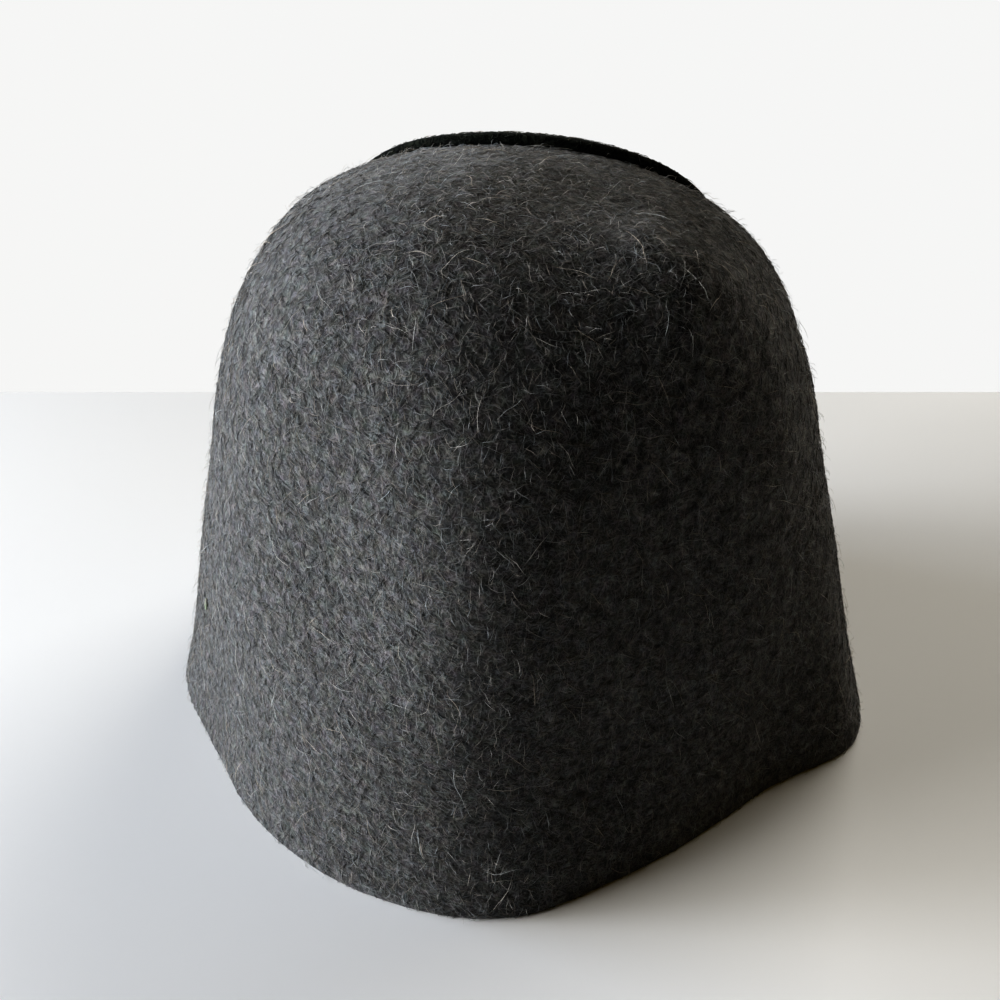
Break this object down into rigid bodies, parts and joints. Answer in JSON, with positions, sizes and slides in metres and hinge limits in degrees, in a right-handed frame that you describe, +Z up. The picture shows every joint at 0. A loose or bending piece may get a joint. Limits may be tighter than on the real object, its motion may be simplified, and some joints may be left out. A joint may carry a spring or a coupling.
{
  "type": "felt hat",
  "caption": "Bell-shaped grey felt hat with a soft front ridge, flared sides and a black felt band over the crown.",
  "frame": {"origin": "on the surface the rim rests on, under the middle of the hat's box", "axes": "+X to the hat's side on the viewer's right when its front is seen, -Y out of the front ridge, +Z up through the crown"},
  "size_m": [0.2608, 0.2285, 0.1942],
  "materials": {
    "grey_felt": "matt heathered hairy felt",
    "black_felt": "matt black felt"
  },
  "bodies": {
    "root": {"felt_body": "grey_felt", "crown_band": "black_felt"}
  },
  "joints": []
}
